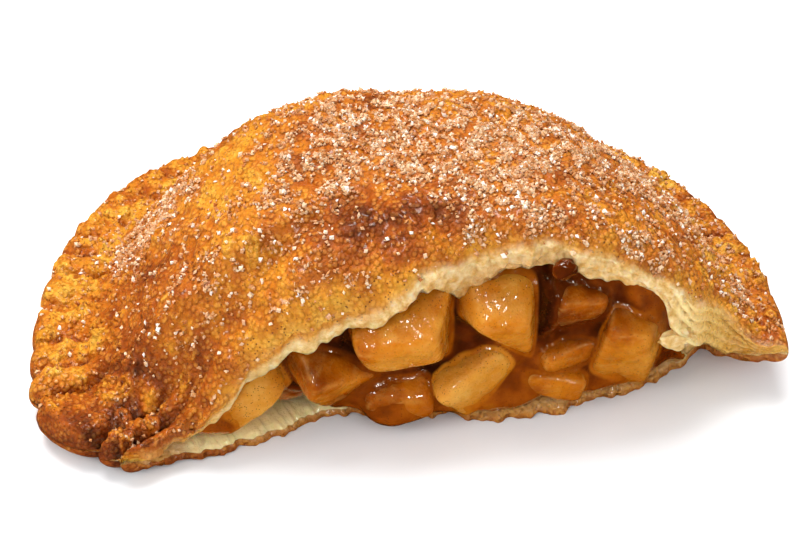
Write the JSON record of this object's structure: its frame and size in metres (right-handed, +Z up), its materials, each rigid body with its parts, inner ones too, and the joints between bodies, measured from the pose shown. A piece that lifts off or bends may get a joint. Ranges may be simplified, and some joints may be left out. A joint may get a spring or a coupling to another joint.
{
  "type": "fruit turnover pastry",
  "caption": "Half-moon fruit turnover, broken open along the front: hollow crimped crust with a chunky fruit and sauce filling; rests on its flat bottom.",
  "frame": {"origin": "on the table, under the middle of the pastry's bounding box", "axes": "+X to the right along the broken front, +Y from the broken front to the crimped back, +Z up"},
  "size_m": [0.1398, 0.0836, 0.0435],
  "materials": {
    "crust": "baked golden-brown dough with sugar crystals and cinnamon",
    "sauce": "glossy caramel-coloured fruit sauce",
    "fruit": "glossy cooked fruit coated with sauce"
  },
  "bodies": {
    "root": {"crust": "crust", "filling": "sauce", "fruit_chunk_1": "fruit", "fruit_chunk_2": "fruit", "fruit_chunk_3": "fruit", "fruit_chunk_4": "fruit", "fruit_chunk_5": "fruit", "fruit_chunk_6": "fruit", "fruit_chunk_7": "fruit", "fruit_chunk_8": "fruit", "fruit_chunk_9": "fruit", "fruit_chunk_10": "fruit"}
  },
  "joints": []
}
